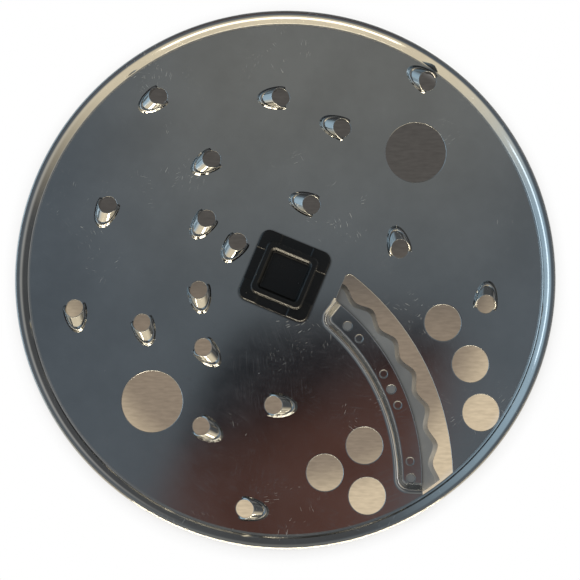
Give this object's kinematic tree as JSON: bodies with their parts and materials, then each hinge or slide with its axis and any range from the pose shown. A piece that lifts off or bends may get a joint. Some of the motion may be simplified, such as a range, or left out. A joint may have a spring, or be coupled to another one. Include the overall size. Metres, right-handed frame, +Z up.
{
  "type": "food processor disc",
  "caption": "Reversible steel grating and slicing disc with raised rim, hooded grating teeth, scalloped blade beside a curved slot, and a moulded hub with a square drive socket in each face.",
  "frame": {"origin": "on the hub's axis, at the hub's lower face, on which the disc lies", "axes": "+Z up, towards the grating side; X and Y along the sides of the hub's square socket"},
  "size_m": [0.145, 0.145, 0.0105],
  "materials": {
    "polished_steel": "polished stainless sheet with fine scratches",
    "blade_steel": "ground stainless blade",
    "hub_plastic": "glossy black moulding"
  },
  "bodies": {
    "root": {"disc_plate": "polished_steel", "slicing_blade": "blade_steel", "drive_hub": "hub_plastic"}
  },
  "joints": []
}
